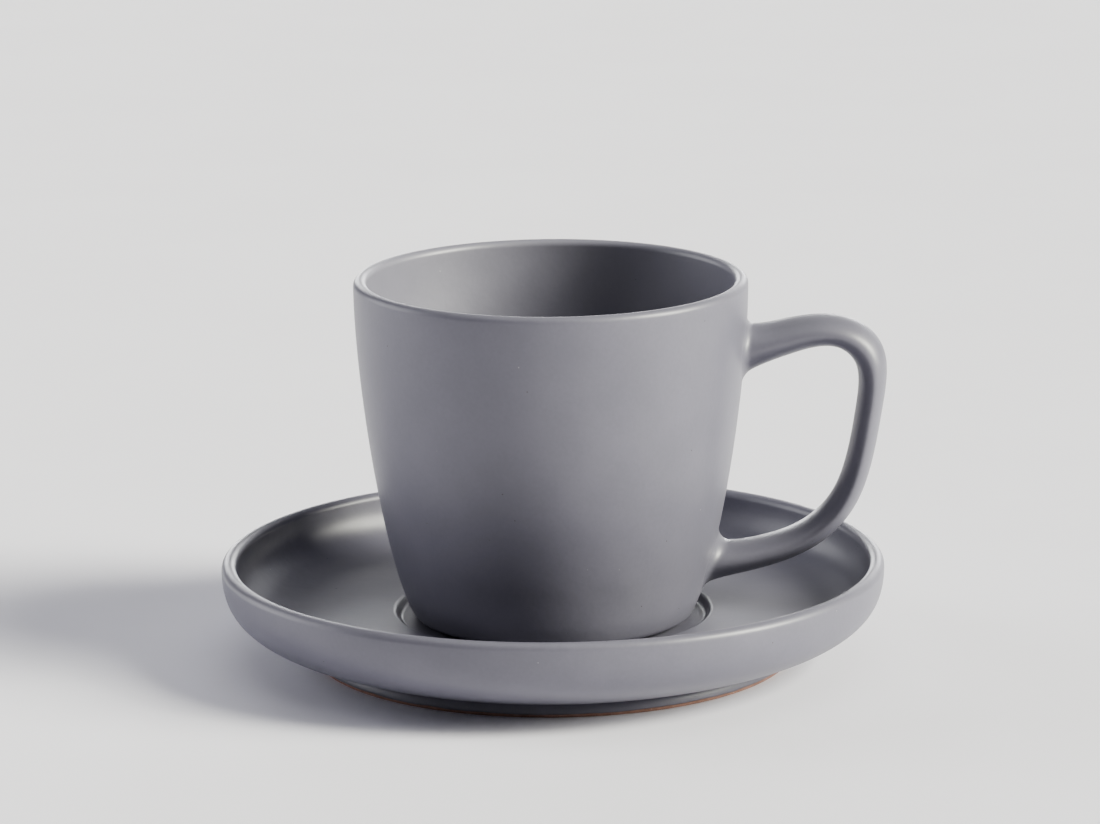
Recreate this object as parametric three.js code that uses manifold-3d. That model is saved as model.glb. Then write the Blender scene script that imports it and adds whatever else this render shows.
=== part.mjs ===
// Coffee cup with saucer in glazed stoneware. The saucer is a turned dish on a foot ring, with a shallow well
// in the middle of its floor. The cup stands loose in that well on a foot ring of its own, and carries a strap
// handle that is formed separately and luted to its wall.
// Millimetres, +Z up. The origin is on the table, on the saucer's axis, and the handle points along +X.

import * as THREE from 'three';
import { mergeVertices } from 'three/addons/utils/BufferGeometryUtils.js';
import Module from 'manifold-3d';

const wasm = await Module();
wasm.setup();

// Saucer
const saucerRadius = 70; // axis to the widest point of the rim
const saucerRimWall = 3.2; // the rim is rounded over its full thickness
const saucerRimRise = 11.2; // dish floor to the crest of the rim
const saucerFlankSpread = 14.5; // outer edge in to where the dish floor turns flat
const saucerFloorThickness = 6.5; // flat underside to the dish floor
const saucerFootRadius = 50.7;
const saucerFootWidth = 4.2;
const saucerFootHeight = 3.2;
const saucerShoulder = 1.3; // foot ring out to where the flat underside turns up into the outer wall

// Well in the saucer's floor
const wellDepth = 1.8;
const wellPlay = 4.1; // edge of the cup's underside to the edge of the well's floor
const wellStep = 2.6; // plan width of the rounded step down into the well

// Cup, with heights measured from the well's floor
const cupHeight = 73.2;
const cupRimRadius = 41.3;
const cupRimWall = 2.8; // the rim is rounded over its full thickness
const cupHeelWall = 4; // wall thickness just above the inside corner
const cupFloorThickness = 5;
const cupBaseRadius = 27.4; // edge of the flat underside
const cupHeelSpread = 2.5; // plan width of the rounded heel
const cupHeelRise = 1.5;
const cupInsideCorner = 9; // radius of the corner between the inside wall and floor
const cupFootInset = 1.2; // edge of the underside in to the foot ring
const cupFootWidth = 3.8;
const cupFootHeight = 0.6;

// Handle
const handleFingerGap = 24; // cup wall to the inner face of the grip, at its outermost point
const handleGripThickness = 5.5;
const handleUpperThickness = 6.7; // bar that leads to the upper root
const handleLowerThickness = 5.9; // bar that leads to the lower root
const handleUpperFlare = 4.8; // what each bar gains in thickness where it meets the wall
const handleLowerFlare = 3.5;
const handleFlareLength = 5.2; // the flare fades by a factor of e over this length
const handleGripWidth = 12.4;
const handleRootWidth = 13.6;
const handleUpperDrop = 15.7; // crest of the cup's rim down to the middle of the upper root
const handleLowerRise = 11.6; // well floor up to the middle of the lower root
const handleFillet = 1.5; // radius of the fillet round each root
const handleSettle = 11; // length over which a section turns from square to the wall to square to the line
const handleSink = 1.5; // how far the handle is drawn into the wall before the wall's shape is cut out of it
const handleJointGap = 0.3; // slip joint between the handle and the cup's wall

// Shape of the curves, as shares of the distances that they span
const saucerFlankLow = { out: 0.7, up: 0.24 };
const saucerFlankHigh = 0.39;
const saucerInsideHigh = 0.6;
const saucerInsideLow = 0.66;
const cupFlankLow = { out: 0.52, up: 0.17 };
const cupFlankHigh = 0.72;
const handleSquareness = 1.85; // 2 is an oval section, less comes nearer to an edge, and more is flatter

// Middle line of the handle from the upper root to the lower one: out is the share of the way from the wall to
// the outermost point, and up is the share of the way from the lower root to the upper one.
const handleOutermost = { out: 1, up: 0.903 };
const handleLine = [
  { out: 0, up: 1 },
  { out: 0.33, up: 1.06 },
  { out: 0.68, up: 1.086 },
  { out: 0.924, up: 1.03 },
  handleOutermost,
  { out: 0.973, up: 0.644 },
  { out: 0.847, up: 0.325 },
  { out: 0.69, up: 0.171 },
  { out: 0.388, up: 0.06 },
  { out: 0, up: 0 },
];

// Facets
const saucerSides = 72;
const cupSides = 64;
const flankSteps = 9;
const rimSteps = 6;
const cornerSteps = 3;
const handleSteps = 22;
const handleSides = 16;
const filletStations = [0, 0.125, 0.33]; // shares of the root fillet's radius that have a section
const wallHalvings = 40; // steps in the search for the wall's radius at a height

// Colours
const glaze = new THREE.MeshStandardMaterial({ color: 0x6f6e7b, roughness: 0.42, metalness: 0 });
const clay = new THREE.MeshStandardMaterial({ color: 0x9c7c6f, roughness: 0.85, metalness: 0 });

// Heights above the table
const saucerUnderside = saucerFootHeight;
const dishFloor = saucerUnderside + saucerFloorThickness;
const wellFloor = dishFloor - wellDepth;

// Heights above the well's floor
const cupUnderside = cupFootHeight;
const cupInsideFloor = cupUnderside + cupFloorThickness;
const cupRimCentre = cupHeight - cupRimWall / 2;
const cupHeelTop = cupUnderside + cupHeelRise;
const upperRoot = cupHeight - handleUpperDrop;
const lowerRoot = handleLowerRise;

const { lerp, clamp, smoothstep } = THREE.MathUtils;

function point(radius, height) {
  return new THREE.Vector2(radius, height);
}

// Joins stretches of a profile, leaving out each point that repeats the one before it.
function profile(...stretches) {
  const same = 1e-6;
  return stretches.flat().filter((p, i, all) => i === 0 || p.distanceTo(all[i - 1]) > same);
}

// Half round over a rim, from its outer face to its inner face.
function roundedRim(outerRadius, wall, centreHeight) {
  const half = wall / 2;
  const arc = new THREE.EllipseCurve(outerRadius - half, centreHeight, half, half, 0, Math.PI);
  return arc.getPoints(rimSteps);
}

// Solid of revolution about +Z.
function turned(points, sides) {
  return new THREE.LatheGeometry(points, sides).rotateX(Math.PI / 2);
}

// Ring of rectangular section that stands on the given height.
function turnedRing(outerRadius, width, bottom, height, sides) {
  const inner = outerRadius - width;
  const top = bottom + height;
  const section = [
    point(inner, bottom),
    point(outerRadius, bottom),
    point(outerRadius, top),
    point(inner, top),
    point(inner, bottom),
  ];
  return turned(section, sides);
}

function solid(geometry) {
  const bare = geometry.clone();
  bare.deleteAttribute('normal');
  bare.deleteAttribute('uv');
  const merged = mergeVertices(bare);
  return new wasm.Manifold(new wasm.Mesh({
    numProp: 3,
    vertProperties: new Float32Array(merged.attributes.position.array),
    triVerts: new Uint32Array(merged.index.array),
  }));
}

function geometryOf(manifold) {
  const mesh = manifold.getMesh();
  const geometry = new THREE.BufferGeometry();
  geometry.setAttribute('position', new THREE.BufferAttribute(mesh.vertProperties, 3));
  geometry.setIndex(new THREE.BufferAttribute(mesh.triVerts, 1));
  geometry.computeVertexNormals();
  return geometry;
}

function piece(name, geometry, material) {
  const mesh = new THREE.Mesh(geometry, material);
  mesh.name = name;
  return mesh;
}

// Dish: a flat underside, a wall that sweeps up to a rounded rim, and a flat floor with the well in it.
function saucerDish() {
  const rimCentre = dishFloor + saucerRimRise - saucerRimWall / 2;
  const shoulder = saucerFootRadius + saucerShoulder;
  const wallRise = rimCentre - saucerUnderside;
  const outerWall = new THREE.CubicBezierCurve(
    point(shoulder, saucerUnderside),
    point(lerp(shoulder, saucerRadius, saucerFlankLow.out), saucerUnderside + saucerFlankLow.up * wallRise),
    point(saucerRadius, saucerUnderside + saucerFlankHigh * wallRise),
    point(saucerRadius, rimCentre),
  );
  const insideTop = saucerRadius - saucerRimWall;
  const floorEdge = saucerRadius - saucerFlankSpread;
  const innerWall = new THREE.CubicBezierCurve(
    point(insideTop, rimCentre),
    point(insideTop, lerp(rimCentre, dishFloor, saucerInsideHigh)),
    point(lerp(floorEdge, insideTop, saucerInsideLow), dishFloor),
    point(floorEdge, dishFloor),
  );
  const wellRadius = cupBaseRadius + wellPlay;
  const wellMiddle = wellRadius + wellStep / 2;
  const wellEdge = new THREE.CubicBezierCurve(
    point(wellRadius + wellStep, dishFloor),
    point(wellMiddle, dishFloor),
    point(wellMiddle, wellFloor),
    point(wellRadius, wellFloor),
  );
  const section = profile(
    [point(0, saucerUnderside)],
    outerWall.getPoints(flankSteps),
    roundedRim(saucerRadius, saucerRimWall, rimCentre),
    innerWall.getPoints(flankSteps),
    wellEdge.getPoints(cornerSteps),
    [point(0, wellFloor)],
  );
  return piece('saucer_dish', turned(section, saucerSides), glaze);
}

function saucerFootRing() {
  const ring = turnedRing(saucerFootRadius, saucerFootWidth, 0, saucerFootHeight, saucerSides);
  return piece('saucer_foot_ring', ring, clay);
}

// Outside of the cup's wall, from the heel up to the rim.
const heelRadius = cupBaseRadius + cupHeelSpread;
const cupFlankRise = cupRimCentre - cupHeelTop;
const cupFlank = new THREE.CubicBezierCurve(
  point(heelRadius, cupHeelTop),
  point(lerp(heelRadius, cupRimRadius, cupFlankLow.out), cupHeelTop + cupFlankLow.up * cupFlankRise),
  point(cupRimRadius, cupHeelTop + cupFlankHigh * cupFlankRise),
  point(cupRimRadius, cupRimCentre),
);

// Outer radius of the cup's wall at a height, found by halving the stretch of the curve that holds it.
function cupWallRadius(height) {
  let low = 0;
  let high = 1;
  for (let halving = 0; halving < wallHalvings; halving += 1) {
    const middle = (low + high) / 2;
    if (cupFlank.getPoint(middle).y < height) low = middle;
    else high = middle;
  }
  return cupFlank.getPoint(low).x;
}

// Rounded heel, from the underside to the foot of the wall, tangent to both.
function cupHeel() {
  const lean = cupFlank.getTangent(0);
  const corner = point(heelRadius - (lean.x / lean.y) * cupHeelRise, cupUnderside);
  const start = point(cupBaseRadius, cupUnderside);
  return new THREE.QuadraticBezierCurve(start, corner, point(heelRadius, cupHeelTop));
}

// Inside of the cup: the wall thickens from the rim to the heel, and a round corner leads to a flat floor.
function cupInside() {
  const cornerTop = cupInsideFloor + cupInsideCorner;
  const wall = [];
  for (let step = 0; step <= flankSteps; step += 1) {
    const share = step / flankSteps;
    const height = lerp(cupRimCentre, cornerTop, share);
    wall.push(point(cupWallRadius(height) - lerp(cupRimWall, cupHeelWall, share), height));
  }
  const above = wall[flankSteps - 1];
  const foot = wall[flankSteps];
  const lean = (above.x - foot.x) / (above.y - foot.y);
  const cornerRadius = foot.x - lean * cupInsideCorner;
  const corner = new THREE.QuadraticBezierCurve(
    foot,
    point(cornerRadius, cupInsideFloor),
    point(cornerRadius - cupInsideCorner, cupInsideFloor),
  );
  return profile(wall, corner.getPoints(cornerSteps + 1), [point(0, cupInsideFloor)]);
}

function cupBody() {
  const section = profile(
    [point(0, cupUnderside)],
    cupHeel().getPoints(cornerSteps),
    cupFlank.getPoints(flankSteps),
    roundedRim(cupRimRadius, cupRimWall, cupRimCentre),
    cupInside(),
  );
  return piece('cup_body', turned(section, cupSides), glaze);
}

function cupFootRing() {
  const ring = turnedRing(cupBaseRadius - cupFootInset, cupFootWidth, 0, cupFootHeight, cupSides);
  return piece('cup_foot_ring', ring, clay);
}

// Middle line of the handle, in the plane of the cup's axis.
function handleCurve() {
  const heightAt = (up) => lerp(lowerRoot, upperRoot, up);
  const outermost = cupWallRadius(heightAt(handleOutermost.up)) + handleFingerGap + handleGripThickness / 2;
  const lowerWall = cupWallRadius(lowerRoot);
  const upperWall = cupWallRadius(upperRoot);
  const stations = handleLine.map(({ out, up }) => {
    const wall = lerp(lowerWall, upperWall, clamp(up, 0, 1));
    return new THREE.Vector3(lerp(wall, outermost, out), 0, heightAt(up));
  });
  return new THREE.CatmullRomCurve3(stations);
}

// How far a fillet stands proud of the handle at a distance from the cup's wall.
function filletAt(distance) {
  const left = handleFillet - clamp(distance, 0, handleFillet);
  return handleFillet - Math.sqrt(handleFillet ** 2 - left ** 2);
}

// One section of the handle, at a distance along its line. Near a root it lies against the cup's wall, and
// further out it stands square to the line.
function handleSection(curve, length, along) {
  const share = clamp(along / length, 0, 1);
  const centre = curve.getPointAt(share);
  const tangent = curve.getTangentAt(share);
  const distance = Math.min(along, length - along);
  const swell = smoothstep(Math.abs(2 * share - 1), 0, 1);
  const upper = share < 0.5;
  const bar = lerp(handleGripThickness, upper ? handleUpperThickness : handleLowerThickness, swell);
  const fade = Math.exp(-Math.max(distance, 0) / handleFlareLength);
  const flare = (upper ? handleUpperFlare : handleLowerFlare) * fade;
  const halfThickness = (bar + flare) / 2 + filletAt(distance);
  const halfWidth = lerp(handleGripWidth, handleRootWidth, swell) / 2 + filletAt(distance);
  const againstWall = 1 - smoothstep(distance, handleFillet, handleSettle);
  const section = [];
  for (let side = 0; side < handleSides; side += 1) {
    const angle = (2 * Math.PI * side) / handleSides;
    const across = Math.sign(Math.cos(angle)) * Math.abs(Math.cos(angle)) ** (2 / handleSquareness);
    const aside = Math.sign(Math.sin(angle)) * Math.abs(Math.sin(angle)) ** (2 / handleSquareness);
    const x = centre.x - tangent.z * halfThickness * across;
    const y = halfWidth * aside;
    const z = centre.z + tangent.x * halfThickness * across;
    const wallX = Math.sqrt((cupWallRadius(z) + distance) ** 2 - y ** 2);
    section.push(new THREE.Vector3(lerp(x, wallX, againstWall), y, z));
  }
  return section;
}

// Closed skin through a row of sections, with a fan over each end.
function lofted(sections) {
  const sides = sections[0].length;
  const points = sections.flat();
  const triangles = [];
  for (let row = 0; row + 1 < sections.length; row += 1) {
    for (let side = 0; side < sides; side += 1) {
      const next = (side + 1) % sides;
      const a = row * sides + side;
      const b = row * sides + next;
      triangles.push(a, a + sides, b, b, a + sides, b + sides);
    }
  }
  const last = (sections.length - 1) * sides;
  for (let side = 1; side + 1 < sides; side += 1) {
    triangles.push(0, side, side + 1);
    triangles.push(last, last + side + 1, last + side);
  }
  const geometry = new THREE.BufferGeometry().setFromPoints(points);
  geometry.setIndex(triangles);
  return geometry;
}

// Handle: a strap that swells towards its roots, with the cup's wall cut out of its ends.
function cupHandle() {
  const curve = handleCurve();
  const length = curve.getLength();
  const rootSteps = [-handleSink, ...filletStations.map((share) => share * handleFillet)];
  const stations = [...rootSteps];
  for (let step = 0; step <= handleSteps; step += 1) {
    stations.push(lerp(handleFillet, length - handleFillet, step / handleSteps));
  }
  rootSteps.reverse().forEach((distance) => stations.push(length - distance));
  const strap = lofted(stations.map((along) => handleSection(curve, length, along)));
  const outside = profile(cupHeel().getPoints(cornerSteps), cupFlank.getPoints(flankSteps));
  const wall = outside.map((p) => point(p.x + handleJointGap, p.y));
  const wallSolid = turned([point(0, cupUnderside), ...wall, point(0, cupRimCentre)], cupSides);
  return piece('cup_handle', geometryOf(solid(strap).subtract(solid(wallSolid))), glaze);
}

const saucer = new THREE.Group();
saucer.add(saucerDish(), saucerFootRing());

const cup = new THREE.Group();
cup.add(cupBody(), cupFootRing(), cupHandle());
cup.position.z = wellFloor;

const cupWithSaucer = new THREE.Group();
cupWithSaucer.add(saucer, cup);

export default cupWithSaucer;
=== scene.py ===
"""Coffee cup with saucer in grey satin-glazed stoneware. Each turned or pulled piece of clay is modelled
around the frame's node that it stands for. Metres, +Z up, with the handle along +X."""

import math

import bmesh
import bpy
import numpy as np
from mathutils import Matrix, Vector
from mathutils.geometry import interpolate_bezier


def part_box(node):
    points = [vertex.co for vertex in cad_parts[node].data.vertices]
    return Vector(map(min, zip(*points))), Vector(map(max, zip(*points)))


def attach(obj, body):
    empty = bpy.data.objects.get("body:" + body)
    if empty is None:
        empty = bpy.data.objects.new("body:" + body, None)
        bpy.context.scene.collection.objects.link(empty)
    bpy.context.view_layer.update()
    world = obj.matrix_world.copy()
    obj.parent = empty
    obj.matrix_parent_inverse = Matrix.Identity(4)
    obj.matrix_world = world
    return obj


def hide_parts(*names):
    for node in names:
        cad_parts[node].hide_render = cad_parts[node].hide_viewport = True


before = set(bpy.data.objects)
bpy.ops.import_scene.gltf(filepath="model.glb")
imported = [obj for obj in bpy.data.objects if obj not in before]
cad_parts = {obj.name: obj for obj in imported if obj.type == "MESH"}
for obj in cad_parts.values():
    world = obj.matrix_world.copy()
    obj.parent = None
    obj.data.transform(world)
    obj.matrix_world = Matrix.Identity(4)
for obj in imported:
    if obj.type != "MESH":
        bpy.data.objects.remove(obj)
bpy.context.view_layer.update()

# Saucer dish
# A wide shallow dish of stoneware, formed on the wheel and dipped in a satin grey glaze. Its wall sweeps up
# from a flat underside to a full round rim, and a shallow round well in its floor keeps the cup in place.
mm = 0.001
dish_low, dish_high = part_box("saucer_dish")
saucer_radius = dish_high.x
saucer_underside = dish_low.z
saucer_crest = dish_high.z
saucer_rim_wall = 3.2 * mm
saucer_rim_rise = 11.2 * mm
saucer_shoulder = 52 * mm
saucer_floor_edge = 55.5 * mm
well_depth = 1.8 * mm
well_radius = 31.5 * mm
well_step = 2.6 * mm

# Where the curves of the saucer's wall are pulled to, as shares of its spread and of its rise
saucer_flank_out = 0.7
saucer_flank_low = 0.24
saucer_flank_high = 0.39
saucer_inside_out = 0.66
saucer_inside_down = 0.6

# The glaze's colours, shine and gloss
glaze_grey = (0.15, 0.147, 0.187, 1)
glaze_light_patch = (0.168, 0.164, 0.207, 1)
glaze_iron_speck = (0.05, 0.047, 0.05, 1)
glaze_pale_speck = (0.42, 0.42, 0.42, 1)
glaze_bending = 1.6
glaze_satin = 0.42
glaze_gloss = 0.2
glaze_gloss_satin = 0.28

# The glaze's mottle, grain and specks: their sizes, their strength in its colour and roughness, and their
# relief in millimetres
glaze_mottle_size = 14 * mm
glaze_grain_size = 0.9 * mm
glaze_mottle_share = 0.7
glaze_iron_specks = {"spacing": 2.6 * mm, "size": 0.3 * mm, "share": 0.1}
glaze_pale_specks = {"spacing": 3.4 * mm, "size": 0.32 * mm, "share": 0.08}
glaze_iron_strength = 0.75
glaze_pale_strength = 0.5
glaze_satin_vary = 0.05
glaze_iron_dryness = 0.1
glaze_relief = {"grain": 0.012, "mottle": 0.2, "pale": 0.02, "iron": 0.05}
mottle_window = (0.3, 0.7)
speck_fade = (1.3, 0.6)
speck_draw = 0.98

wheel_sides = 192
wall_steps = 36
well_steps = 14
weld = 0.001 * mm


def between(start, end, share):
    """A value between two others, at a share of the way."""
    return start + (end - start) * share


def swept(start, start_pull, end_pull, end, steps):
    """Points along one curved stretch of an outline, from four corners given as radius and height."""
    corners = [Vector((radius, 0, height)) for radius, height in (start, start_pull, end_pull, end)]
    return interpolate_bezier(*corners, steps)


def rounded_lip(radius, height, half, steps=24):
    """Points over the full round of a rim, from its outer face to its inner face."""
    turns = [math.pi * step / steps for step in range(steps + 1)]
    return [Vector((radius + half * math.cos(t), 0, height + half * math.sin(t))) for t in turns]


def thrown(outline, closed=False):
    """Clay on the wheel: an outline spun about the upright axis, with its seam and poles closed."""
    clay = bmesh.new()
    corners = [clay.verts.new(point) for point in outline]
    ends = corners[1:] + corners[:1] if closed else corners[1:]
    edges = [clay.edges.new(pair) for pair in zip(corners, ends)]
    bmesh.ops.spin(
        clay, geom=corners + edges, cent=(0, 0, 0), axis=(0, 0, 1),
        angle=math.tau, steps=wheel_sides, use_merge=True,
    )
    return clay


def fired(name, clay, finish):
    """The finished piece: doubles merged, faces turned outwards and smooth, and its finish on."""
    bmesh.ops.remove_doubles(clay, verts=clay.verts, dist=weld)
    bmesh.ops.recalc_face_normals(clay, faces=clay.faces)
    for face in clay.faces:
        face.smooth = True
    mesh = bpy.data.meshes.new(name)
    clay.to_mesh(mesh)
    clay.free()
    mesh.materials.append(finish)
    piece = bpy.data.objects.new(name, mesh)
    bpy.context.scene.collection.objects.link(piece)
    return piece


class Tone:
    """A value, colour or vector in a finish, held by a node's socket. Arithmetic adds Math nodes."""

    def __init__(self, tree, socket=None):
        self.tree = tree
        self.socket = socket

    def node(self, kind, settings, inputs, output=0):
        """Adds a node, makes its settings, fills its sockets and returns one of its outputs, if any."""
        made = self.tree.nodes.new(kind)
        for name, setting in settings.items():
            setattr(made, name, setting)
        for key, value in inputs.items():
            if isinstance(value, Tone):
                self.tree.links.new(value.socket, made.inputs[key])
            else:
                made.inputs[key].default_value = value
        return Tone(self.tree, made.outputs[output] if made.outputs else None)

    def math(self, operation, first, second):
        return self.node("ShaderNodeMath", {"operation": operation}, {0: first, 1: second})

    def __add__(self, other):
        return self.math("ADD", self, other)

    def __sub__(self, other):
        return self.math("SUBTRACT", self, other)

    def __mul__(self, other):
        return self.math("MULTIPLY", self, other)

    __radd__ = __add__

    def step(self, low, high):
        """Rises smoothly from 0 at the low value to 1 at the high one, or falls where low is above high."""
        span = {"From Min": min(low, high), "From Max": max(low, high)}
        ends = {"To Min": float(low > high), "To Max": float(low < high)}
        smooth = {"interpolation_type": "SMOOTHSTEP"}
        return self.node("ShaderNodeMapRange", smooth, {"Value": self, **span, **ends})

    def blend(self, first, second):
        """A colour between two others, with this value as the share of the second. The node's inputs 6 and 7
        and its output 2 are the ones for colours."""
        return self.node("ShaderNodeMix", {"data_type": "RGBA"}, {0: self, 6: first, 7: second}, 2)

    def cloud(self, size, detail=3.0):
        """Soft noise about 0.5 over a place, with lumps of that size."""
        return self.node("ShaderNodeTexNoise", {}, {"Vector": self, "Scale": 1 / size, "Detail": detail})

    def specks(self, spacing, size, share):
        """Round specks of that size on a share of the cells of a random scatter."""
        scatter = {"Vector": self, "Scale": 1 / spacing}
        reach = self.node("ShaderNodeTexVoronoi", {}, scatter, "Distance")
        chance = self.node("ShaderNodeTexVoronoi", {}, scatter, "Color")
        lot = self.node("ShaderNodeSeparateColor", {}, {0: chance}, "Red")
        edge = size / spacing / 2
        gone, full = speck_fade
        return reach.step(edge * gone, edge * full) * lot.step(share, share * speck_draw)


def glaze_on(place):
    """Satin grey glaze: its colour, roughness and height over a place. It has a mottle and a few specks."""
    mottle = place.cloud(glaze_mottle_size, detail=4.0)
    grain = place.cloud(glaze_grain_size, detail=2.0)
    iron = place.specks(**glaze_iron_specks)
    pale = place.specks(**glaze_pale_specks)
    patch = (mottle * glaze_mottle_share + grain * (1 - glaze_mottle_share)).step(*mottle_window)
    colour = patch.blend(glaze_grey, glaze_light_patch)
    colour = (iron * glaze_iron_strength).blend(colour, glaze_iron_speck)
    colour = (pale * glaze_pale_strength).blend(colour, glaze_pale_speck)
    roughness = glaze_satin + mottle * glaze_satin_vary + grain * glaze_satin_vary
    roughness = roughness + iron * glaze_iron_dryness
    height = grain * glaze_relief["grain"] + mottle * glaze_relief["mottle"]
    height = height + pale * glaze_relief["pale"] - iron * glaze_relief["iron"]
    return colour, roughness, height


def finish_of(name, surface, bending, gloss=0.0):
    """A finish made from one function that gives colour, roughness and height in millimetres over a place.
    Its bending of light, or IOR, sets how strongly it shines, and a share of gloss lies over it."""
    finish = bpy.data.materials.new(name)
    finish.use_nodes = True
    tree = finish.node_tree
    tree.nodes.clear()
    place = Tone(tree).node("ShaderNodeTexCoord", {}, {}, "Object")
    colour, roughness, height = surface(place)
    relief = place.node("ShaderNodeBump", {}, {"Height": height, "Distance": mm, "Strength": 1.0})
    sockets = {"Base Color": colour, "Roughness": roughness, "Normal": relief, "IOR": bending}
    sockets |= {"Coat Weight": gloss, "Coat Roughness": glaze_gloss_satin}
    shader = place.node("ShaderNodeBsdfPrincipled", {}, sockets)
    place.node("ShaderNodeOutputMaterial", {}, {"Surface": shader})
    return finish


dish_floor = saucer_crest - saucer_rim_rise
well_floor = dish_floor - well_depth
saucer_lip = saucer_crest - saucer_rim_wall / 2
saucer_wall_inside = saucer_radius - saucer_rim_wall
well_edge = well_radius + well_step
well_middle = well_radius + well_step / 2
flank_pull_out = between(saucer_shoulder, saucer_radius, saucer_flank_out)
flank_pull_low = between(saucer_underside, saucer_lip, saucer_flank_low)
flank_pull_high = between(saucer_underside, saucer_lip, saucer_flank_high)
inside_pull_down = between(saucer_lip, dish_floor, saucer_inside_down)
inside_pull_out = between(saucer_floor_edge, saucer_wall_inside, saucer_inside_out)
saucer_outline = [
    Vector((0, 0, saucer_underside)),
    *swept(
        (saucer_shoulder, saucer_underside), (flank_pull_out, flank_pull_low),
        (saucer_radius, flank_pull_high), (saucer_radius, saucer_lip), wall_steps,
    ),
    *rounded_lip(saucer_radius - saucer_rim_wall / 2, saucer_lip, saucer_rim_wall / 2),
    *swept(
        (saucer_wall_inside, saucer_lip), (saucer_wall_inside, inside_pull_down),
        (inside_pull_out, dish_floor), (saucer_floor_edge, dish_floor), wall_steps,
    ),
    *swept(
        (well_edge, dish_floor), (well_middle, dish_floor),
        (well_middle, well_floor), (well_radius, well_floor), well_steps,
    ),
    Vector((0, 0, well_floor)),
]
satin_glaze = finish_of("satin_glaze", glaze_on, glaze_bending, glaze_gloss)
saucer_dish = fired("saucer_dish_glazed", thrown(saucer_outline), satin_glaze)
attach(saucer_dish, "saucer")
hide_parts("saucer_dish")

# Saucer foot ring
# The ring that the saucer stands on, cut from the same clay while the saucer is on the wheel. The glaze
# stops just above the table, so that the lowest edge is bare red-brown clay, sanded smooth.
foot_low, foot_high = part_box("saucer_foot_ring")
foot_outside = foot_high.x
foot_width = 4.2 * mm
foot_round = 0.6 * mm

# The line where the glaze ends, and the glaze's thickness there in millimetres
glaze_line = 0.75 * mm
glaze_line_waver = 0.25 * mm
glaze_line_blur = 0.1 * mm
glaze_waver_size = 6 * mm
glaze_thickness = 0.12
noise_middle = 0.5

# The bare clay's colours and dryness, its body, grain and sand, and their relief in millimetres
clay_red = (0.4, 0.24, 0.195, 1)
clay_dark = (0.27, 0.155, 0.125, 1)
clay_sand = (0.5, 0.37, 0.31, 1)
clay_bending = 1.3
clay_dryness = 0.8
clay_dryness_vary = 0.15
clay_body_size = 3 * mm
clay_grain_size = 0.25 * mm
clay_body_share = 0.6
clay_sand_specks = {"spacing": 0.9 * mm, "size": 0.3 * mm, "share": 0.3}
clay_sand_strength = 0.6
clay_relief = {"grain": 0.08, "sand": 0.03}


def clay_on(place):
    """Bare fired clay: its colour, roughness and height over a place. It is open-grained and sandy."""
    body = place.cloud(clay_body_size, detail=4.0)
    grain = place.cloud(clay_grain_size, detail=2.0)
    sand = place.specks(**clay_sand_specks)
    patch = (body * clay_body_share + grain * (1 - clay_body_share)).step(*mottle_window)
    colour = patch.blend(clay_dark, clay_red)
    colour = (sand * clay_sand_strength).blend(colour, clay_sand)
    roughness = clay_dryness + grain * clay_dryness_vary
    height = grain * clay_relief["grain"] + sand * clay_relief["sand"]
    return colour, roughness, height


def half_dipped(place):
    """Glaze above a wavering line close to the table, and bare clay below it."""
    glaze_colour, glaze_roughness, glaze_height = glaze_on(place)
    clay_colour, clay_roughness, clay_height = clay_on(place)
    height = place.node("ShaderNodeSeparateXYZ", {}, {0: place}, "Z")
    line = height + (place.cloud(glaze_waver_size) - noise_middle) * (2 * glaze_line_waver)
    glazed = line.step(glaze_line - glaze_line_blur, glaze_line + glaze_line_blur)
    colour = glazed.blend(clay_colour, glaze_colour)
    roughness = clay_roughness + glazed * (glaze_roughness - clay_roughness)
    relief = clay_height + glazed * (glaze_height + glaze_thickness - clay_height)
    return colour, roughness, relief


def foot_ring(outside, width, bottom, top, edge):
    """A ring with an upright section, whose edges on the ground are rounded off."""
    inside = outside - width
    corners = [(inside, bottom), (outside, bottom), (outside, top), (inside, top)]
    ring = thrown([Vector((radius, 0, height)) for radius, height in corners], closed=True)
    bmesh.ops.remove_doubles(ring, verts=ring.verts, dist=weld)
    ground = [e for e in ring.edges if all(v.co.z < bottom + weld for v in e.verts)]
    hoops = [e for e in ground if abs(e.verts[0].co.xy.length - e.verts[1].co.xy.length) < weld]
    bmesh.ops.bevel(ring, geom=hoops, offset=edge, segments=4, profile=0.5, affect="EDGES", material=-1)
    return ring


saucer_foot_clay = foot_ring(foot_outside, foot_width, foot_low.z, foot_high.z, foot_round)
half_dipped_clay = finish_of("half_dipped_clay", half_dipped, glaze_bending)
saucer_foot_ring = fired("saucer_foot_ring_half_dipped", saucer_foot_clay, half_dipped_clay)
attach(saucer_foot_ring, "saucer")
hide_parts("saucer_foot_ring")

# Cup body
# The cup's wall and floor, thrown in one piece and glazed inside and out. The wall leaves a small round
# heel, opens towards the top and ends in a full round rim, and it is thicker at the heel than at the rim.
body_low, body_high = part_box("cup_body")
cup_rim_radius = body_high.x
cup_underside = body_low.z
cup_crest = body_high.z
cup_rim_wall = 2.8 * mm
cup_heel_wall = 4 * mm
cup_floor_thickness = 5 * mm
cup_base_radius = 27.4 * mm
heel_radius = 29.9 * mm
heel_rise = 1.5 * mm
inside_corner = 9 * mm

# Where the curves of the cup's flank and heel are pulled to: shares of the wall's spread and rise, the
# length of the heel's pull along the underside, and the share of its pull down from the wall
cup_flank_out = 0.52
cup_flank_low = 0.17
cup_flank_high = 0.72
heel_pull_out = 1.1 * mm
heel_pull_down = 0.67
flank_steps = 60
heel_steps = 10
corner_steps = 18

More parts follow.
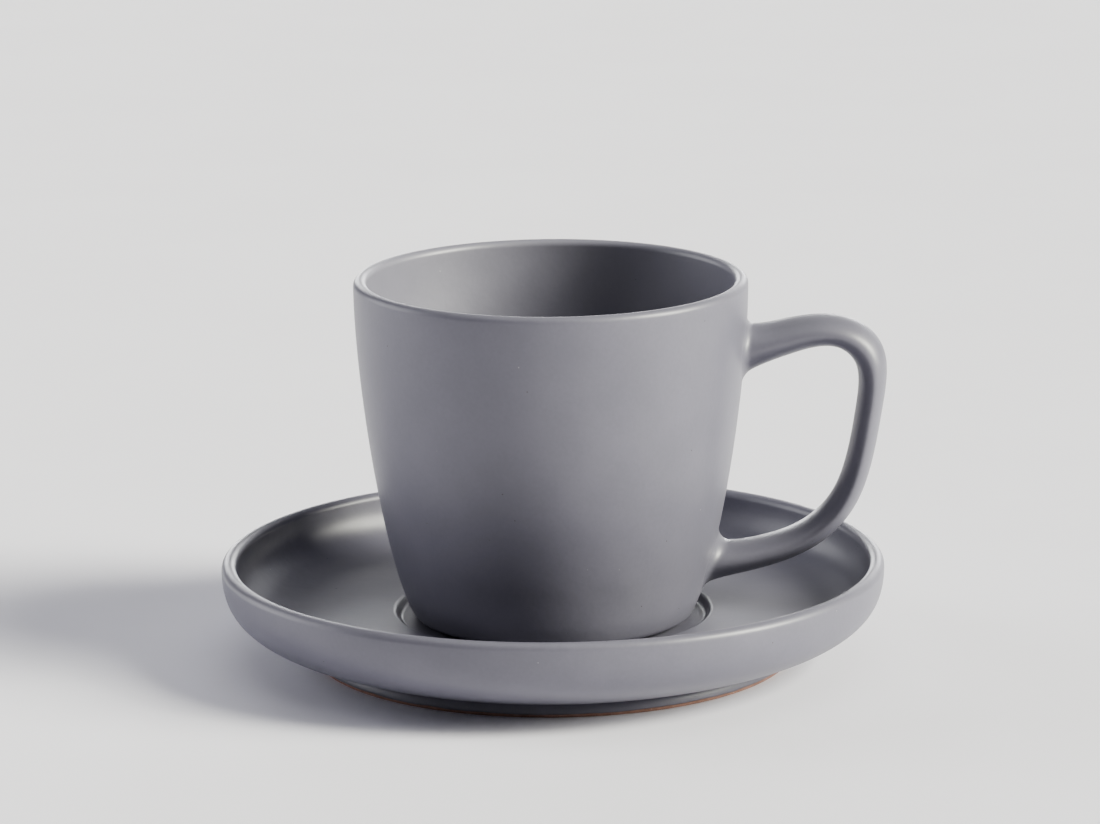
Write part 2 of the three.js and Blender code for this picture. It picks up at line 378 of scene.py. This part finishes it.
# The lighter colour painted on the inside of the cup, painted light that stands in for the light falling
# into it, its share over the grey, and the depths into the rim's wall between which it takes over from the
# dipped glaze outside
inside_painted_light = (0.36, 0.355, 0.42, 1)
inside_painted_light_share = 0.24
inside_painted_light_from = 0.1 * cup_rim_wall
inside_painted_light_to = 0.9 * cup_rim_wall

heel_top = cup_underside + heel_rise
cup_lip = cup_crest - cup_rim_wall / 2
cup_inside_floor = cup_underside + cup_floor_thickness
wall_rise = cup_lip - heel_top
cup_flank = swept(
    (heel_radius, heel_top),
    (between(heel_radius, cup_rim_radius, cup_flank_out), heel_top + cup_flank_low * wall_rise),
    (cup_rim_radius, heel_top + cup_flank_high * wall_rise),
    (cup_rim_radius, cup_lip), flank_steps,
)
flank_heights = [point.z for point in cup_flank]
flank_radii = [point.x for point in cup_flank]


def wall_radius(height):
    """Radius of the cup's outer wall at a height."""
    return float(np.interp(height, flank_heights, flank_radii))


def eased(value, low, high):
    """Rises smoothly from 0 at the low value to 1 at the high one."""
    share = min(max((value - low) / (high - low), 0), 1)
    return share * share * (3 - 2 * share)


def painted_light_inside_at(point):
    """1 on the inside of the cup, where the glaze's colour is painted lighter as painted light, and 0
    outside, where the glaze is dipped. The two meet on the lip."""
    depth = wall_radius(point.z) - point.xy.length
    above_floor = point.z > cup_inside_floor - weld
    return above_floor * eased(depth, inside_painted_light_from, inside_painted_light_to)


def glaze_with_painted_light_inside(place):
    """Satin glaze, painted a little paler on the inside of the cup as painted light."""
    colour, roughness, height = glaze_on(place)
    painted_light_inside = place.node("ShaderNodeAttribute", {"attribute_name": "painted_light_inside"}, {}, "Fac")
    return (painted_light_inside * inside_painted_light_share).blend(colour, inside_painted_light), roughness, height


def cup_inside(steps=48):
    """The inside of the cup, from the lip down the wall and round the corner to the floor."""
    corner_top = cup_inside_floor + inside_corner
    wall = []
    for step in range(steps + 1):
        share = step / steps
        height = between(cup_lip, corner_top, share)
        thickness = between(cup_rim_wall, cup_heel_wall, share)
        wall.append(Vector((wall_radius(height) - thickness, 0, height)))
    lean = (wall[-2].x - wall[-1].x) / (wall[-2].z - wall[-1].z)
    turn = wall[-1].x - lean * inside_corner
    corner = swept(
        (wall[-1].x, corner_top), (turn, cup_inside_floor + inside_corner / 3),
        (turn - inside_corner / 3, cup_inside_floor),
        (turn - inside_corner, cup_inside_floor), corner_steps,
    )
    return [*wall, *corner, Vector((0, 0, cup_inside_floor))]


heel_lean = (cup_flank[1].x - cup_flank[0].x) / (cup_flank[1].z - cup_flank[0].z)
heel_pull_radius = heel_radius - heel_pull_down * heel_lean * heel_rise
heel_pull_height = cup_underside + (1 - heel_pull_down) * heel_rise
cup_outline = [
    Vector((0, 0, cup_underside)),
    *swept(
        (cup_base_radius, cup_underside), (cup_base_radius + heel_pull_out, cup_underside),
        (heel_pull_radius, heel_pull_height), (heel_radius, heel_top), heel_steps,
    ),
    *cup_flank,
    *rounded_lip(cup_rim_radius - cup_rim_wall / 2, cup_lip, cup_rim_wall / 2),
    *cup_inside(),
]
cup_clay = thrown(cup_outline)
# Painted light inside the cup: a mask, 1 inside and 0 outside, that lightens the glaze's colour there
painted_light_inside_layer = cup_clay.verts.layers.float.new("painted_light_inside")
for vert in cup_clay.verts:
    vert[painted_light_inside_layer] = painted_light_inside_at(vert.co)
cup_glaze = finish_of("cup_glaze", glaze_with_painted_light_inside, glaze_bending, glaze_gloss)
cup_body = fired("cup_body_glazed", cup_clay, cup_glaze)
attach(cup_body, "cup")
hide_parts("cup_body")

# Cup foot ring
# A low ring of bare clay under the cup, wiped clean of glaze before firing, so that the cup doesn't stick
# to the kiln shelf. It stands in the saucer's well.
cup_foot_low, cup_foot_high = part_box("cup_foot_ring")
cup_foot_width = 3.8 * mm
cup_foot_round = 0.25 * mm
cup_foot_clay = foot_ring(
    cup_foot_high.x, cup_foot_width, cup_foot_low.z, cup_foot_high.z, cup_foot_round,
)
bare_clay = finish_of("bare_clay", clay_on, clay_bending)
cup_foot_ring = fired("cup_foot_ring_bare", cup_foot_clay, bare_clay)
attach(cup_foot_ring, "cup")
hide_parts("cup_foot_ring")

# Cup handle
# A strap of clay, pulled and bent by hand, then luted to the cup's wall at two roots with a small fillet of
# slip. It is dipped with the cup, so that glaze runs from the strap on to the wall without a seam.
well_level = cup_foot_low.z
upper_root_drop = 15.7 * mm
lower_root_rise = 11.6 * mm
upper_root = cup_crest - upper_root_drop
lower_root = well_level + lower_root_rise
finger_gap = 24 * mm
grip_thickness = 5.5 * mm
upper_bar = 6.7 * mm
lower_bar = 5.9 * mm
upper_flare = 4.8 * mm
lower_flare = 3.5 * mm
flare_length = 5.2 * mm
grip_width = 12.4 * mm
root_width = 13.6 * mm
slip_fillet = 1.5 * mm
thumbed_fillet = 3.4 * mm
settle_length = 11 * mm
root_sink = 0.5 * mm
strap_squareness = 1.85

# The fuller outer side of the upper bend: how far it stands out, and its place and reach as shares of the
# strap's length
bend_swell = 0.85 * mm
bend_share = 0.285
bend_reach = 0.06

strap_sides = 64
strap_steps = 150
fillet_steps = 14
half_way = 0.5
tangent_reach = 0.2 * mm

# The strap's middle line from the upper root to the lower one, as shares of the way out from the wall to
# the outermost place and of the way up between the roots
grip_up = 0.9
strap_line = [
    (0, 1), (0.366, 1.062), (0.745, 1.076), (0.993, 0.938), (0.989, 0.713),
    (0.928, 0.494), (0.818, 0.285), (0.601, 0.127), (0.31, 0.043), (0, 0),
]


def strap_place(out, up):
    """A point of the strap's middle line, from its share of the way out and of the way up."""
    wall = between(wall_radius(lower_root), wall_radius(upper_root), min(max(up, 0), 1))
    grip_height = between(lower_root, upper_root, grip_up)
    outermost = wall_radius(grip_height) + finger_gap + grip_thickness / 2
    return Vector((between(wall, outermost, out), 0, between(lower_root, upper_root, up)))


def line_through(places, steps=40):
    """An evenly curved line through a row of places, as a thin strip would bend, in Bezier stretches. The
    sixths are the weights of an even cubic spline."""
    last = len(places) - 1
    shares = np.eye(last + 1)
    for row in range(1, last):
        shares[row, row - 1:row + 2] = 1 / 6, 4 / 6, 1 / 6
    bends = [Vector(bend) for bend in np.linalg.solve(shares, np.array(places))]
    bends = [2 * bends[0] - bends[1], *bends, 2 * bends[last] - bends[last - 1]]
    line = []
    for before, start, end, after in zip(bends, bends[1:], bends[2:], bends[3:]):
        stretch = (
            before + 4 * start + end, 4 * start + 2 * end,
            2 * start + 4 * end, start + 4 * end + after,
        )
        line += interpolate_bezier(*(corner / 6 for corner in stretch), steps)
    return line


strap_points = line_through([strap_place(out, up) for out, up in strap_line])
strap_runs = np.cumsum([0.0, *((b - a).length for a, b in zip(strap_points, strap_points[1:]))])
strap_length = float(strap_runs[-1])


def strap_at(along):
    """The strap's middle line at a length along it."""
    x = np.interp(along, strap_runs, [p.x for p in strap_points])
    z = np.interp(along, strap_runs, [p.z for p in strap_points])
    return Vector((float(x), 0, float(z)))


def strap_section(along, turn):
    """A point of the strap's skin, at a length along its line and a turn around it. Near a root the section
    lies against the cup's wall, and further out it stands square to the line."""
    inside = min(max(along, 0), strap_length)
    ahead = strap_at(min(inside + tangent_reach, strap_length))
    behind = strap_at(max(inside - tangent_reach, 0))
    tangent = (ahead - behind).normalized()
    centre = strap_at(inside)
    share = inside / strap_length
    distance = min(along, strap_length - along)
    near = max(distance, 0)
    swell = eased(abs(2 * share - 1), 0, 1)
    bar, flare = (upper_bar, upper_flare) if share < half_way else (lower_bar, lower_flare)
    across = math.copysign(abs(math.cos(turn)) ** (2 / strap_squareness), math.cos(turn))
    aside = math.copysign(abs(math.sin(turn)) ** (2 / strap_squareness), math.sin(turn))
    thumbed = eased(-across, 0, 1) if share > half_way else 0
    radius = between(slip_fillet, thumbed_fillet, thumbed)
    fillet = radius - math.sqrt(radius ** 2 - max(radius - near, 0) ** 2)
    thickness = between(grip_thickness, bar, swell) + flare * math.exp(-near / flare_length)
    width = between(grip_width, root_width, swell)
    bend = bend_swell * math.exp(-((share - bend_share) / bend_reach) ** 2)
    rise = across * (thickness / 2 + fillet) + max(across, 0) * bend
    x = centre.x - tangent.z * rise
    y = aside * (width / 2 + fillet)
    z = centre.z + tangent.x * rise
    wall_x = math.sqrt((wall_radius(z) + distance) ** 2 - y ** 2)
    against_wall = 1 - eased(distance, slip_fillet, settle_length)
    return Vector((between(x, wall_x, against_wall), y, z))


fillet_turns = [math.pi / 2 * step / fillet_steps for step in range(fillet_steps)]
root_lengths = [-root_sink, *(thumbed_fillet * (1 - math.cos(turn)) for turn in fillet_turns)]
strap_lengths = [
    *root_lengths,
    *np.linspace(thumbed_fillet, strap_length - thumbed_fillet, strap_steps),
    *(strap_length - length for length in reversed(root_lengths)),
]
strap = bmesh.new()
ring = bmesh.ops.create_circle(strap, segments=strap_sides, radius=grip_thickness, cap_ends=True)["verts"]
turns = [math.tau * side / strap_sides for side in range(strap_sides)]
for vert, turn in zip(ring, turns):
    vert.co = strap_section(strap_lengths[0], turn)
rim = list(strap.edges)
for length in strap_lengths[1:]:
    grown = bmesh.ops.extrude_edge_only(strap, edges=rim)["geom"]
    ring = [item for item in grown if isinstance(item, bmesh.types.BMVert)]
    grown_edges = [item for item in grown if isinstance(item, bmesh.types.BMEdge)]
    rim = [edge for edge in grown_edges if all(v in ring for v in edge.verts)]
    for vert, turn in zip(ring, turns):
        vert.co = strap_section(length, turn)
bmesh.ops.holes_fill(strap, edges=rim)
cup_handle = fired("cup_handle_glazed", strap, satin_glaze)
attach(cup_handle, "cup")
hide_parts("cup_handle")

# Table top
# A plain pale matt surface that carries on past the edges of the picture. Its mottling is barely seen, and
# its relief is in millimetres.
table_reach = 6.0
table_sides = 64
table_white = (0.865, 0.856, 0.93, 1)
table_shade = 0.985
table_bending = 1.1
table_dryness = 0.75
table_dryness_vary = 0.1
table_mottle_size = 60 * mm
table_relief = 0.05
top = bmesh.new()
bmesh.ops.create_circle(top, segments=table_sides, radius=table_reach, cap_ends=True)


def table_on(place):
    """Matt pale surface with the faintest mottling."""
    mottle = place.cloud(table_mottle_size)
    shaded = (*(channel * table_shade for channel in table_white[:3]), 1)
    colour = mottle.step(*mottle_window).blend(table_white, shaded)
    return colour, table_dryness + mottle * table_dryness_vary, mottle * table_relief


table_top = fired("table_top", top, finish_of("pale_matt_table", table_on, table_bending))

# Camera
# A long lens a little over a metre in front of the cup, looking down on it at the photograph's angle.
eye = Vector((-0.35 * mm, -1115.5 * mm, 313.7 * mm))
look_down = math.radians(13.2)
roll = math.radians(-0.46)
lens = bpy.data.cameras.new("camera")
lens.sensor_width = 36
lens.lens = 178.4
camera = bpy.data.objects.new("camera", lens)
pitch = Matrix.Rotation(math.pi / 2 - look_down, 4, "X")
camera.matrix_world = Matrix.Translation(eye) @ pitch @ Matrix.Rotation(roll, 4, "Z")
bpy.context.scene.collection.objects.link(camera)
bpy.context.scene.camera = camera

# Studio light
# A soft box on the right in an upper and a lower half, a low pale wall on the left, low strips and weak
# walls behind the cup and a weak ceiling, in a dim room.
warm_white = (1, 0.995, 0.86)
cool_white = (0.985, 0.99, 1)
room_dim = (0.02, 0.02, 0.02, 1)

# Each lamp's bearing from the camera's side round to the right, its height and its spread, all in degrees,
# then its strength and its colour
studio_lights = {
    "softbox_right_high": (70.5, 36, 20, 3.25, warm_white),
    "softbox_right_low": (78, 21, 22, 3.85, warm_white),
    "low_wall_left": (252, 14, 48, 1.72, cool_white),
    "strip_behind_left": (190, 8, 16, 0.6, cool_white),
    "strip_behind_right": (170, 8, 16, 0.53, cool_white),
    "wall_behind_right": (155, 15, 30, 0.38, cool_white),
    "wall_behind_high": (190, 30, 40, 0.24, cool_white),
    "ceiling": (0, 88, 60, 0.65, cool_white),
}
for name, (bearing, height, spread, strength, colour) in studio_lights.items():
    lamp = bpy.data.lights.new(name, "SUN")
    lamp.energy = strength
    lamp.angle = math.radians(spread)
    lamp.color = colour
    turned_round = Matrix.Rotation(math.radians(bearing), 4, "Z")
    tipped_down = Matrix.Rotation(math.radians(90 - height), 4, "X")
    holder = bpy.data.objects.new(name, lamp)
    holder.matrix_world = turned_round @ tipped_down
    bpy.context.scene.collection.objects.link(holder)
room = bpy.data.worlds.new("room")
room.use_nodes = True
room.node_tree.nodes.clear()
glow = Tone(room.node_tree).node("ShaderNodeBackground", {}, {"Color": room_dim})
glow.node("ShaderNodeOutputWorld", {}, {"Surface": glow})
bpy.context.scene.world = room
picture = bpy.context.scene.view_settings
picture.view_transform = "AgX"
picture.look = "AgX - Medium High Contrast"
